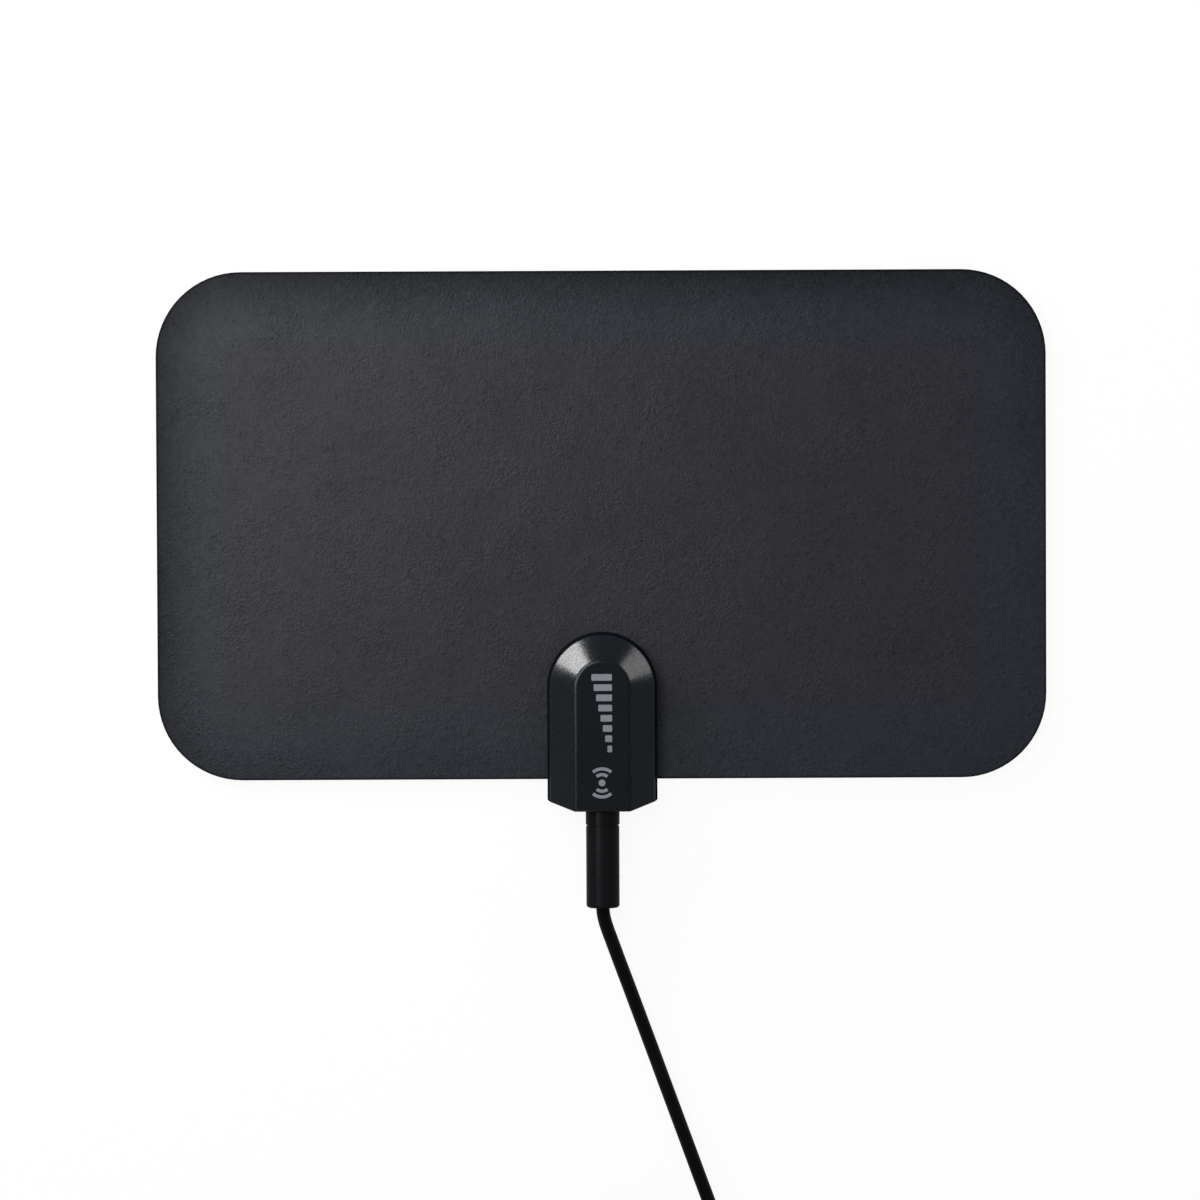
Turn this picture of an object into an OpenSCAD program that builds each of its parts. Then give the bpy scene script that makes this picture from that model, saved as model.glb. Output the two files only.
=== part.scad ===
// Flat indoor television antenna with a moulded connection housing and a fixed coaxial lead.
// The antenna lies on its back: +Z is out of the panel's front face, -Y is the side of the lead.
// The origin is the middle of the outline of panel and housing, on the surface that it lies on.

/* [Panel] */
// Width of the panel
panel_w = 210; // [160:1:300]
// Height of the panel
panel_h = 120; // [95:1:200]
// Radius of the panel's corners
corner_r = 20; // [5:1:40]
// Thickness of the front sheet
front_sheet_t = 0.3; // [0.2:0.05:0.8]
// Thickness of the rear sheet, with the foil sunk into its front face
rear_sheet_t = 0.35; // [0.25:0.05:0.8]

/* [Foil element] */
// Thickness of the foil
foil_t = 0.1; // [0.05:0.01:0.15]
// Bare margin between the foil and the edge of the panel
foil_margin = 9; // [5:1:15]
// Gap between the left and the right wing of the foil
wing_gap = 6; // [4:0.5:7]
// Height of the foil's edge nearest to the gap
wing_root_h = 26; // [12:1:40]
// Width of the slots that fold each wing's path
slot_w = 3; // [1.5:0.5:5]
// Distance of the first slot from the middle line
slot_start = 24; // [18:1:30]
// Width of the foil that joins two stretches round a slot's end
slot_bridge = 4; // [3:0.5:6]
// Distance between the housing and the foil's edge at the gap
root_gap = 8; // [4:1:12]
// Number of slots in each wing
slot_count = 4; // [0:1:6]
// Width of the strip that leads from a wing to the housing
feed_w = 5; // [5:0.5:6]

/* [Housing] */
// Width of the housing where it meets the panel
housing_w = 26; // [24:0.5:40]
// Length of the housing
housing_len = 42; // [40:0.5:60]
// Length of the housing that stands out past the panel's lower edge
housing_below = 7.2; // [5:0.1:8]
// Height of the front shell above the panel
shell_h = 8.8; // [8:0.1:12]
// Height of the shell's side wall
side_wall_h = 4; // [3:0.1:5]
// How far the side wall leans in over its height
side_draft = 0.6; // [0.2:0.1:1]
// Width of the flat top face
top_w = 12.8; // [12:0.1:14]
// How far the lower end's corners are cut back
end_cut_len = 2.3; // [1:0.1:3]
// Rounding between slope and top face
top_round = 1.6; // [0.5:0.1:2]
// Rounding between side wall and slope
side_round = 0.8; // [0.3:0.1:1.2]
// Bevel at the front of the lower end
end_bevel = 0.5; // [0.2:0.1:1]
// Wall of the front shell
shell_wall = 1.5; // [1.2:0.1:1.8]
// Thickness of the rear cover
cover_t = 1.5; // [1.3:0.1:2.5]
// How far the rear cover's edge lies inside the front shell's
cover_inset = 0.3; // [0:0.1:0.6]
// Bevel round the back of the rear cover
cover_bevel = 0.5; // [0.2:0.1:0.7]
// Width of the locating rim on the rear cover
rim_w = 0.9; // [0.6:0.1:1.2]
// Height of the locating rim above the rear cover
rim_h = 1.6; // [1:0.1:2.5]
// Thickness of the ribs under the shell's top face
rib_t = 0.8; // [0.6:0.1:1.2]
// Depth of the ribs under the shell's top face
rib_deep = 1.2; // [0.8:0.1:1.6]

/* [Screws] */
// Diameter of a screw's shank
screw_d = 2; // [1.6:0.1:2.4]
// Length of a screw
screw_len = 5; // [4:0.25:5.5]
// Diameter of a screw's countersunk head
screw_head_d = 3.8; // [3.4:0.1:4.2]
// Height of a screw's head
screw_head_h = 1; // [0.8:0.1:1.1]
// Length of a screw's tapered tip
screw_tip_len = 0.6; // [0.4:0.1:1]
// Width of the cross recess in a screw's head
recess_w = 0.5; // [0.4:0.05:0.7]
// Length of the cross recess in a screw's head
recess_len = 2.1; // [1.6:0.1:2.4]
// Depth of the cross recess in a screw's head
recess_deep = 0.6; // [0.4:0.1:0.8]
// Diameter of the screw bosses
boss_d = 4.4; // [4:0.1:4.8]
// Distance of the upper screw from the middle of the arch
upper_screw_r = 6.2; // [5.5:0.1:7.5]
// Distance of the lower screws from the middle line
lower_screw_x = 8.9; // [8.5:0.1:9.1]
// Distance of the lower screws from the housing's end
lower_screw_v = 11.5; // [11:0.1:13]

/* [Circuit board] */
// Width of the circuit board
board_w = 12; // [11:0.5:13]
// Length of the circuit board
board_len = 13; // [12:0.5:14]
// Thickness of the circuit board
board_t = 1; // [0.6:0.1:1.2]
// Distance of the board's lower edge from the housing's end
board_v = 15.2; // [14.6:0.1:16]
// Distance of the feed rivets from the middle line
rivet_x = 3.6; // [3:0.1:4]
// Distance of the feed rivets from the board's upper edge
rivet_inset = 2; // [1.6:0.1:2.4]
// Diameter of a rivet's hollow shank
rivet_d = 1.8; // [1.4:0.1:2.2]
// Diameter of a rivet's flanges
rivet_flange_d = 3; // [2.6:0.1:3.4]
// Thickness of a rivet's flanges
rivet_flange_t = 0.3; // [0.2:0.05:0.4]
// Wall of a rivet
rivet_wall = 0.25; // [0.15:0.05:0.35]

/* [Balun] */
// Width of the ferrite core
core_w = 6.4; // [6:0.1:7]
// Length of the ferrite core
core_len = 4.6; // [3.5:0.1:5]
// Height of the ferrite core
core_h = 3.4; // [3:0.1:4]
// Diameter of the core's two holes
core_hole_d = 2; // [1.8:0.1:2.2]
// Distance between the core's two holes
core_pitch = 3.2; // [3:0.1:3.4]
// Diameter of the enamelled wire
wire_d = 0.36; // [0.25:0.01:0.4]
// Turns of wire on the core
wire_turns = 3; // [1:1:3]
// How far the winding stands out past each end of the core
wire_loop = 0.6; // [0.4:0.1:0.8]
// Length of board kept free between the winding and the rivets
winding_room = 1.4; // [1.2:0.1:1.6]

/* [Strain relief] */
// Height of the lead's axis above the back of the housing
axis_h = 5; // [4.7:0.1:5.6]
// Diameter of the collar against the housing
collar_d = 8; // [7.4:0.1:8.4]
// Length of the collar
collar_len = 3.3; // [2:0.1:5]
// Width of the groove below the collar
groove_w = 0.45; // [0.3:0.05:0.8]
// Depth of the groove below the collar
groove_deep = 0.25; // [0.2:0.05:0.6]
// Diameter of the barrel
barrel_d = 7.85; // [7.2:0.05:8.2]
// Length of the strain relief outside the housing
relief_len = 23; // [16:0.5:32]
// Rounding of the barrel's end
barrel_round = 0.7; // [0.3:0.1:1.2]
// Diameter of the neck in the housing's wall
neck_d = 5.2; // [4.8:0.1:5.6]
// Width of the square flange inside the housing
flange_w = 6.4; // [6:0.1:6.6]
// Thickness of the square flange
flange_t = 1.5; // [1:0.1:2]
// Width of the mouth that the lead leaves through
mouth_d = 4.6; // [3.8:0.1:5.2]
// Depth of the mouth
mouth_deep = 1.2; // [0.6:0.1:2]

/* [Coaxial lead] */
// Outer diameter of the lead
cord_d = 3.2; // [2.6:0.1:3.4]
// Diameter of the insulation between braid and conductor
core_ins_d = 1.5; // [1.2:0.1:1.7]
// Diameter of the lead's centre conductor
conductor_d = 0.5; // [0.4:0.05:0.6]
// Diameter of the braid where it is twisted into a tail
braid_d = 0.9; // [0.7:0.1:1]
// Length of jacket that reaches into the housing past the flange
jacket_in = 2; // [1:0.1:2.4]
// Length of bare insulation past the jacket's end
insulation_out = 2.6; // [2:0.1:3.2]
// Depth to which the jacket's end is hollow, round the insulation
jacket_hollow = 2; // [1.5:0.1:2.5]
// Width of the ring left free for the braid inside the jacket
braid_room = 0.3; // [0.2:0.05:0.35]

/* [Coil] */
// Angle between the lead's straight stretch and the strain relief
lead_angle = 20; // [18:0.5:22]
// Distance sideways to the point where the lead meets the coil
touch_x = 32; // [31:0.5:33]
// Distance from the strain relief to the point where the lead meets the coil
touch_len = 90; // [88:1:92]
// Diameter of the coil at the middle of its turns
coil_mid_d = 35.8; // [30:0.2:40]
// Turns that lie beside each other
coil_wide = 4; // [3:1:5]
// Turns that lie on each other
coil_high = 4; // [3:1:5]
// Thickness of the tie's ribbon
tie_t = 0.4; // [0.3:0.1:0.8]
// Width of the tie's ribbon
tie_w = 4; // [3:0.5:6]
// Length of the tie's twisted ends
tie_tail = 11; // [6:1:16]
// Width of the tie's twisted ends
tie_tail_w = 1.8; // [1.2:0.1:2.4]
// Turns in the tie's twisted ends
tie_twists = 1.5; // [0.5:0.5:3]
// Angle of the tie's place on the coil
tie_angle = 20; // [0:5:60]

/* [Plug] */
// Distance sideways from the middle of the coil to the plug's grip
plug_dist = 31.8; // [31:0.2:36]
// Distance of the plug's axis outside the coil's outermost turn
plug_aside = 0.5; // [0:0.1:1]
// Width across the flats of the coupling nut
nut_af = 11.1; // [10.8:0.1:12]
// Length of the coupling nut
nut_len = 9.5; // [8:0.1:12]
// Thickness of the nut's rear wall
nut_back = 2; // [1.5:0.1:2.6]
// Inside diameter of the nut at the crests of its thread
thread_minor_d = 8.74; // [8.6:0.02:8.8]
// Distance between the turns of the nut's thread
thread_pitch = 0.8; // [0.7:0.05:1]
// Depth of the nut's thread
thread_deep = 0.35; // [0.2:0.05:0.4]
// Diameter of the grip
grip_d = 10.6; // [10:0.1:10.7]
// Length of the grip with its tapered tail
grip_len = 24; // [20:0.5:32]
// Length of the grip's tapered tail
tail_len = 7; // [5:0.5:9]
// Number of flutes round the grip
flute_count = 12; // [6:1:16]
// Diameter of the cut that makes a flute
flute_d = 1.6; // [1:0.1:2]
// Depth of a flute
flute_deep = 0.45; // [0.2:0.05:0.6]
// Length left plain at both ends of the flutes
flute_margin = 3; // [2:0.5:4]
// Number of slots along the grip's tail
tail_slots = 4; // [2:1:5]
// Width of a slot in the grip's tail
tail_slot_w = 0.7; // [0.4:0.1:0.8]
// Gap between the grip and the nut
nut_gap = 0.5; // [0.3:0.1:1]
// Length of the nut's round rim in front of its flats
nut_rim_len = 1.5; // [1:0.1:2.5]
// Diameter of the metal body behind the nut
body_d = 7; // [6.6:0.1:7.2]
// Diameter of the body's groove that the nut turns on
swivel_d = 6; // [5.4:0.1:6.2]
// Diameter of the body's front flange inside the nut
front_flange_d = 8.2; // [7.6:0.1:8.3]
// Thickness of the body's front flange
front_flange_t = 1; // [0.8:0.1:1.4]
// Diameter of the insulator
insulator_d = 4.6; // [3.6:0.1:4.8]
// Diameter of the contact pin
pin_d = 0.8; // [0.7:0.05:1]
// Diameter of the pin where the insulator holds it
pin_held_d = 1.2; // [1.1:0.05:1.5]
// How far the contact pin stands out past the nut
pin_out = 1.6; // [1:0.1:3]

/* [Fits] */
// Clearance between pieces that are fixed together
fit = 0.1; // [0.05:0.01:0.15]
// Clearance all round a screw's shank and head
screw_fit = 0.03; // [0.02:0.01:0.06]
// Running clearance between the nut and the plug's body
run_fit = 0.08; // [0.05:0.01:0.1]
// Clearance between the lead and what it passes through
cord_fit = 0.05; // [0.03:0.01:0.1]
// Clearance between the coil and the tie round it
tie_fit = 0.25; // [0.2:0.05:0.5]

/* [Hidden] */
$fn = 48;

// Colours as the photograph shows them, and usual ones for what it hides
SHEET_BLACK = [0.2, 0.2, 0.22];
SHELL_BLACK = [0.12, 0.13, 0.15];
LEAD_BLACK = [0.07, 0.08, 0.08];
FOIL_GREY = [0.78, 0.79, 0.8];
BOARD_GREEN = [0.1, 0.35, 0.2];
FERRITE_GREY = [0.22, 0.22, 0.24];
COPPER = [0.75, 0.42, 0.25];
BRASS = [0.8, 0.65, 0.35];
NICKEL = [0.75, 0.74, 0.7];
STEEL = [0.6, 0.6, 0.62];
NATURAL_WHITE = [0.92, 0.92, 0.88];

// Heights above the surface that the antenna lies on
panel_z = cover_t;
foil_z = panel_z + rear_sheet_t - foil_t;
front_sheet_z = panel_z + rear_sheet_t;
front_z = front_sheet_z + front_sheet_t;
shell_top_z = front_z + shell_h;

// Places along the length
total_h = panel_h + housing_below;
panel_low_y = total_h / 2 - panel_h;
end_y = -total_h / 2;
arch_y = end_y + housing_len - housing_w / 2;
below_panel = panel_low_y - fit - end_y;
exit_y = end_y - relief_len;

// The housing's profile
side_top_r = housing_w / 2 - side_draft;
top_r = top_w / 2;

// The board and its rivets
board_y = end_y + board_v;
rivet_y = board_y + board_len - rivet_inset;
board_z = front_z;
board_top_z = board_z + board_t;
core_y = rivet_y - rivet_flange_d / 2 - winding_room - core_len / 2;
core_hole_z = board_top_z + core_h / 2;

// The screws
SCREW_PLACES = [
    [0, arch_y + upper_screw_r],
    [-lower_screw_x, end_y + lower_screw_v],
    [lower_screw_x, end_y + lower_screw_v]
];
screw_sink = 0.05;
boss_z = cover_t + fit / 2;

// The strain relief, with lengths counted from the housing's end outwards
flange_near = shell_wall + fit / 2;
flange_far = flange_near + flange_t;
jacket_far = flange_far + jacket_in;

// The coil, wound clockwise from the point where the straight lead meets its outermost turn
turn_r = coil_mid_d / 2 + (coil_wide - 1) * cord_d / 2;
bundle_w = coil_wide * cord_d;
bundle_h = coil_high * cord_d;
coil_x = touch_x - turn_r * cos(lead_angle);
coil_y = exit_y - touch_len - turn_r * sin(lead_angle);
coil_z = tie_t;
// How far before that point a straight lead already meets the ring that stands for the coil
ring_reach = sqrt(pow(turn_r + cord_d / 2, 2) - pow(turn_r - cord_d / 2, 2)) + 0.3;

// The plug lies along -X. Lengths on it are counted from the rear end of its grip.
plug_x = coil_x - plug_dist;
plug_y = coil_y - turn_r - plug_aside;
plug_z = nut_af / 2;
nut_at = grip_len + nut_gap;
swivel_at = nut_at - nut_gap / 2;
front_flange_at = nut_at + nut_back + run_fit;
face_at = front_flange_at + front_flange_t;
pin_end = nut_at + nut_len + pin_out;
body_at = tail_len + flute_margin;

// The lead's way to the coil: [x, distance from the strain relief, share of its height there]
RUN_PLACES = [
    [0, 0, 1], [0, 0.6, 1], [0.2, 2.1, 0.97], [0.8, 4.4, 0.91], [2.4, 8.9, 0.75], [4.4, 14.4, 0.52],
    [6.6, 20.4, 0.29], [9, 27, 0.09], [11.6, 34.1, 0], [15.2, 44, 0], [18.9, 54.1, 0],
    [22.4, 63.7, 0], [25.4, 71.9, 0]
];
RUN_ROUTE = concat(
    [
        for (p = RUN_PLACES)
            [p.x, exit_y - p.y, cord_d / 2 + (axis_h - cord_d / 2) * p.z]
    ],
    [[
        touch_x - ring_reach * sin(lead_angle),
        exit_y - touch_len + ring_reach * cos(lead_angle),
        cord_d / 2
    ]]
);

// The lead's way from the coil to the plug: [share of the way along, share of the way down]
END_PLACES = [[0, 0], [0.17, 0.25], [0.37, 0.61], [0.58, 0.87], [0.78, 0.98], [0.92, 1], [1, 1]];
end_drop = 0.8;
end_from = [
    coil_x - ring_reach - 0.3,
    coil_y - turn_r - 0.1,
    coil_z + bundle_h - cord_d / 2 - end_drop
];
END_ROUTE = [
    for (p = END_PLACES)
        [
            end_from.x + (plug_x - end_from.x) * p.x,
            end_from.y + (plug_y - end_from.y) * p.y,
            end_from.z + (plug_z - end_from.z) * p.y
        ]
];

// Places where the lead's inner parts are soldered to the board, from the board's lower corner
CONDUCTOR_PAD = [-1.5, 1.2];
BRAID_PAD = [3.4, 1.2];

// A tube of n sides along a list of points, each ring square to the way between its neighbours
function ring_way(route, i) =
    let (a = route[max(i - 1, 0)], b = route[min(i + 1, len(route) - 1)]) (b - a) / norm(b - a);
function ring(route, i, r, n) =
    let (
        way = ring_way(route, i),
        side = cross(way, [0, 0, 1]) / norm(cross(way, [0, 0, 1])),
        up = cross(side, way)
    )
    [for (k = [0:n - 1]) route[i] + r * (cos(360 * k / n) * side + sin(360 * k / n) * up)];
module tube(route, r, n = 8) {
    last = len(route) - 1;
    points = [for (i = [0:last]) each ring(route, i, r, n)];
    walls = [
        for (i = [0:last - 1], k = [0:n - 1])
            [i * n + k, (i + 1) * n + k, (i + 1) * n + (k + 1) % n, i * n + (k + 1) % n]
    ];
    near_cap = [[for (k = [0:n - 1]) k]];
    far_cap = [[for (k = [n - 1:-1:0]) last * n + k]];
    polyhedron(points, concat(near_cap, walls, far_cap), convexity = 10);
}

// Places shapes that are drawn along +Z onto the lead's axis, away from the housing's end
module on_lead_axis(at = 0) {
    translate([0, end_y - at, axis_h]) rotate([90, 0, 0]) children();
}

// Places shapes that are drawn along +Z onto the plug's axis, towards its tip
module on_plug_axis(at = 0) {
    translate([plug_x - at, plug_y, plug_z]) rotate([0, -90, 0]) children();
}

// Points of a rounded corner at p, between the directions to the points before and after it
function rounded(before, p, after, r, n = 5) =
    let (
        u = (before - p) / norm(before - p),
        v = (after - p) / norm(after - p),
        half = acos(u * v) / 2,
        middle = p + (u + v) / norm(u + v) * r / sin(half),
        first = p + u * r / tan(half) - middle,
        last = p + v * r / tan(half) - middle
    )
    [
        for (i = [0:n])
            let (mix = first * (n - i) + last * i) middle + mix / norm(mix) * r
    ];

// Outline of the panel
module panel_outline() {
    half_w = panel_w / 2 - corner_r;
    half_h = panel_h / 2 - corner_r;
    y_mid = panel_low_y + panel_h / 2;
    for (x = [-half_w, half_w], y = [y_mid - half_h, y_mid + half_h])
        translate([x, y]) circle(corner_r, $fn = 96);
    translate([-half_w, panel_low_y]) square([2 * half_w, panel_h]);
    translate([-panel_w / 2, y_mid - half_h]) square([panel_w, 2 * half_h]);
}

// Outline of one wing of the foil, with its slots and its feed strip
module wing_outline() {
    outer_x = panel_w / 2 - foil_margin;
    low_y = panel_low_y + foil_margin;
    high_y = panel_low_y + panel_h - foil_margin;
    root_low_y = arch_y + housing_w / 2 + root_gap;
    root_mid_y = root_low_y + wing_root_h / 2;
    cut = corner_r * 0.6;
    slot_step = (outer_x - slot_start) / max(slot_count, 1);
    difference() {
        polygon([
            [wing_gap / 2, root_low_y],
            [outer_x * 0.45, low_y + cut / 2],
            [outer_x - cut, low_y],
            [outer_x, low_y + cut],
            [outer_x, high_y - cut],
            [outer_x - cut, high_y],
            [outer_x * 0.3, high_y],
            [wing_gap / 2, root_low_y + wing_root_h]
        ]);
        for (i = [0:1:slot_count - 1])
            translate([slot_start + slot_step * i, 0])
                if (i % 2 == 0) slot_between(low_y - slot_w, root_mid_y - slot_bridge);
                else slot_between(root_mid_y + slot_bridge, high_y + slot_w);
    }
    strip_y = rivet_y - feed_w / 2;
    translate([max(wing_gap / 2, rivet_x - feed_w / 2), strip_y])
        square([feed_w, root_mid_y - strip_y]);
}

module slot_between(from_y, to_y) {
    translate([0, from_y]) square([slot_w, to_y - from_y]);
}

// One wing of the foil, on the side that sign gives, with the hole for its rivet
module foil_wing(sign) {
    mirror([sign < 0 ? 1 : 0, 0, 0])
        translate([0, 0, foil_z])
            difference() {
                linear_extrude(foil_t) wing_outline();
                translate([rivet_x, rivet_y, -1]) cylinder(h = 2, d = rivet_d + 2 * screw_fit);
            }
}

module element_left() {
    color(FOIL_GREY) foil_wing(-1);
}

module element_right() {
    color(FOIL_GREY) foil_wing(1);
}

// Holes through both sheets for the bosses and the rivets
module sheet_holes() {
    for (p = SCREW_PLACES)
        translate([p.x, p.y, 0]) cylinder(h = front_z + 1, d = boss_d + 2 * fit);
    for (x = [-rivet_x, rivet_x])
        translate([x, rivet_y, 0]) cylinder(h = front_z + 1, d = rivet_d + 2 * screw_fit);
}

module front_sheet() {
    color(SHEET_BLACK)
        difference() {
            translate([0, 0, front_sheet_z]) linear_extrude(front_sheet_t) panel_outline();
            sheet_holes();
        }
}

// The rear sheet, with the foil's pockets in its front face
module rear_sheet() {
    color(SHEET_BLACK)
        difference() {
            translate([0, 0, panel_z]) linear_extrude(rear_sheet_t) panel_outline();
            sheet_holes();
            for (side = [0, 1])
                mirror([side, 0, 0])
                    translate([0, 0, foil_z]) linear_extrude(foil_t + 1) wing_outline();
        }
}

// Half width of the housing's cut lower corner, inset by d
function end_len() = norm([housing_w / 2 - top_r, end_cut_len]);
function cut_x(d) =
    let (nx = -end_cut_len / end_len(), ny = (housing_w / 2 - top_r) / end_len())
    top_r + d * nx + (d - d * ny) * (housing_w / 2 - top_r) / end_cut_len;
function cut_v(d) =
    let (nx = -end_cut_len / end_len(), ny = (housing_w / 2 - top_r) / end_len())
    (housing_w / 2 - d - top_r - d * nx) * end_cut_len / (housing_w / 2 - top_r) + d * ny;

// Outline of the housing, seen from the front: an arch with its lower corners cut back
module housing_outline(d = 0) {
    half = housing_w / 2 - d;
    translate([0, arch_y]) circle(half, $fn = 96);
    polygon([
        [-half, arch_y], [-half, end_y + cut_v(d)], [-cut_x(d), end_y + d],
        [cut_x(d), end_y + d], [half, end_y + cut_v(d)], [half, arch_y]
    ]);
}

// Half of the front shell's cross-section above the panel, inset by d: [distance, height]
function shell_profile(d) =
    let (
        base_r = housing_w / 2 - d,
        shoulder = [side_top_r - d, side_wall_h - d / 2],
        crest = [top_r - d / 2, shell_h - d],
        foot = [base_r, 0],
        middle = [0, shell_h - d],
        inner = d > 0 ? 0.5 : 1
    )
    concat(
        [[0, -d], [base_r, -d], foot],
        rounded(foot, shoulder, crest, side_round * inner),
        rounded(shoulder, crest, middle, top_round * inner),
        [middle]
    );

// Half a cross-section, turned round the arch and drawn out straight to the housing's end
module arch_sweep(profile) {
    mirrored = [for (i = [len(profile) - 1:-1:0]) [-profile[i].x, profile[i].y]];
    translate([0, arch_y, 0]) rotate_extrude($fn = 96) polygon(profile);
    translate([0, arch_y, 0])
        rotate([90, 0, 0])
            linear_extrude(arch_y - end_y) polygon(concat(profile, mirrored));
}

// The front shell's outer form above the panel, inset by d, without its lower end's cuts
module shell_form(d = 0) {
    translate([0, 0, front_z]) arch_sweep(shell_profile(d));
}

// Takes a bevel off an edge that runs along X at the given place
module bevel_cut(y, z, size) {
    side = size * sqrt(2);
    translate([0, y, z]) rotate([45, 0, 0]) cube([2 * housing_w, side, side], center = true);
}

// The shell's outer form stands on the panel, and reaches the rear cover below the panel's edge
module front_shell_solid() {
    intersection() {
        union() {
            shell_form();
            translate([-housing_w / 2, end_y, panel_z])
                cube([housing_w, below_panel, front_z - panel_z]);
        }
        linear_extrude(shell_top_z) housing_outline();
    }
}

module front_shell_cavity() {
    intersection() {
        union() {
            shell_form(shell_wall);
            translate([-housing_w / 2, end_y, 0]) cube([housing_w, below_panel + shell_wall, front_z]);
        }
        linear_extrude(shell_top_z) housing_outline(shell_wall);
    }
}

// The slot in the shell's end wall that the strain relief's neck slides into
module neck_slot() {
    slot_d = neck_d + 2 * fit;
    on_lead_axis(-shell_wall - 1) cylinder(h = shell_wall + 2, d = slot_d);
    translate([-slot_d / 2, end_y - 1, 0]) cube([slot_d, shell_wall + 2, axis_h]);
}

// Stiffening ribs across the shell's ceiling
module shell_ribs() {
    intersection() {
        for (v = [board_v - 2 * rib_t, board_v + board_len + rib_t])
            translate([-housing_w / 2, end_y + v, shell_top_z - shell_wall - rib_deep])
                cube([housing_w, rib_t, rib_deep + shell_wall]);
        shell_form(shell_wall / 2);
    }
}

module housing_front() {
    color(SHELL_BLACK)
        difference() {
            union() {
                difference() {
                    front_shell_solid();
                    front_shell_cavity();
                }
                intersection() {
                    for (p = SCREW_PLACES)
                        translate([p.x, p.y, boss_z]) cylinder(h = shell_top_z, d = boss_d);
                    union() {
                        shell_form(shell_wall / 2);
                        translate([-housing_w / 2, end_y, 0])
                            cube([housing_w, housing_len, front_z]);
                    }
                }
                shell_ribs();
            }
            neck_slot();
            bevel_cut(end_y, shell_top_z, end_bevel);
            for (p = SCREW_PLACES)
                translate([p.x, p.y, 0])
                    cylinder(h = cover_t + screw_len, d = screw_d + 2 * screw_fit);
        }
}

// The rear cover: a thin plate with a locating rim, a cradle for the neck and three sunk holes
module housing_rear() {
    color(SHELL_BLACK)
        difference() {
            union() {
                cover_plate();
                cover_rim();
                cover_cradle();
            }
            bevel_cut(end_y + cover_inset, 0, cover_bevel);
            neck_seat();
            rivet_pockets();
            for (p = SCREW_PLACES) translate([p.x, p.y, 0]) countersink();
        }
}

// The cover's plate, bevelled round its back
module cover_plate() {
    half = housing_w / 2 - cover_inset;
    intersection() {
        arch_sweep([[0, 0], [half - cover_bevel, 0], [half, cover_bevel], [half, cover_t], [0, cover_t]]);
        linear_extrude(cover_t) housing_outline(cover_inset);
    }
}

// The rim stands inside the front shell's wall, on the part below the panel
module cover_rim() {
    outer = shell_wall + fit + side_draft * rim_h / side_wall_h;
    intersection() {
        translate([0, 0, cover_t / 2])
            linear_extrude(cover_t / 2 + rim_h)
                difference() {
                    housing_outline(outer);
                    housing_outline(outer + rim_w);
                }
        translate([-housing_w / 2, end_y, 0])
            cube([housing_w, below_panel, cover_t + rim_h]);
    }
}

// The cradle fills the shell's neck slot from below
module cover_cradle() {
    slot_d = neck_d - fit;
    translate([-slot_d / 2, end_y + cover_inset, cover_t / 2])
        cube([slot_d, shell_wall - cover_inset, axis_h - neck_d / 4 - cover_t / 2]);
}

// Room in the cover for the neck and for the square flange behind it
module neck_seat() {
    on_lead_axis(-shell_wall - fit / 2) cylinder(h = shell_wall + 1, d = neck_d + 2 * fit);
    room = flange_w / 2 + fit;
    translate([-room, end_y + shell_wall, axis_h - room])
        cube([2 * room, flange_t + 2 * fit + rim_w, 2 * room]);
}

module rivet_pockets() {
    for (x = [-rivet_x, rivet_x])
        translate([x, rivet_y, cover_t - rivet_flange_t - fit])
            cylinder(h = 1, d = rivet_flange_d + 4 * fit);
}

module countersink() {
    head_r = screw_head_d / 2 + screw_fit;
    shank_r = screw_d / 2 + screw_fit;
    translate([0, 0, -1]) cylinder(h = cover_t + 2, r = shank_r);
    translate([0, 0, -1]) cylinder(h = 1 + screw_sink, r = head_r);
    translate([0, 0, screw_sink]) cylinder(h = screw_head_h, r1 = head_r, r2 = shank_r);
}

// One screw, with its head at the back and a cross recess
module screw() {
    tip_z = screw_len - screw_tip_len;
    difference() {
        union() {
            cylinder(h = screw_head_h, d1 = screw_head_d, d2 = screw_d);
            cylinder(h = tip_z, d = screw_d);
            translate([0, 0, tip_z]) cylinder(h = screw_tip_len, d1 = screw_d, d2 = screw_d / 2);
        }
        for (turn = [0, 90])
            rotate(turn)
                translate([-recess_len / 2, -recess_w / 2, -recess_deep])
                    cube([recess_len, recess_w, 2 * recess_deep]);
    }
}

module cover_screws() {
    color(STEEL)
        for (p = SCREW_PLACES) translate([p.x, p.y, screw_sink]) screw();
}

// The board lies on the front sheet, inside the shell
module balun_board() {
    color(BOARD_GREEN)
        difference() {
            translate([-board_w / 2, board_y, board_z]) cube([board_w, board_len, board_t]);
            for (x = [-rivet_x, rivet_x])
                translate([x, rivet_y, 0])
                    cylinder(h = board_top_z + 1, d = rivet_d + 2 * screw_fit);
        }
}

// Hollow rivets that join the foil to the board, through both sheets
module feed_rivets() {
    back_z = panel_z - rivet_flange_t;
    color(BRASS)
        for (x = [-rivet_x, rivet_x])
            translate([x, rivet_y, 0])
                difference() {
                    union() {
                        translate([0, 0, back_z]) cylinder(h = rivet_flange_t, d = rivet_flange_d);
                        translate([0, 0, back_z])
                            cylinder(h = board_top_z + rivet_flange_t - back_z, d = rivet_d);
                        translate([0, 0, board_top_z])
                            cylinder(h = rivet_flange_t, d = rivet_flange_d);
                    }
                    cylinder(h = shell_top_z, d = rivet_d - 2 * rivet_wall);
                }
}

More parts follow.
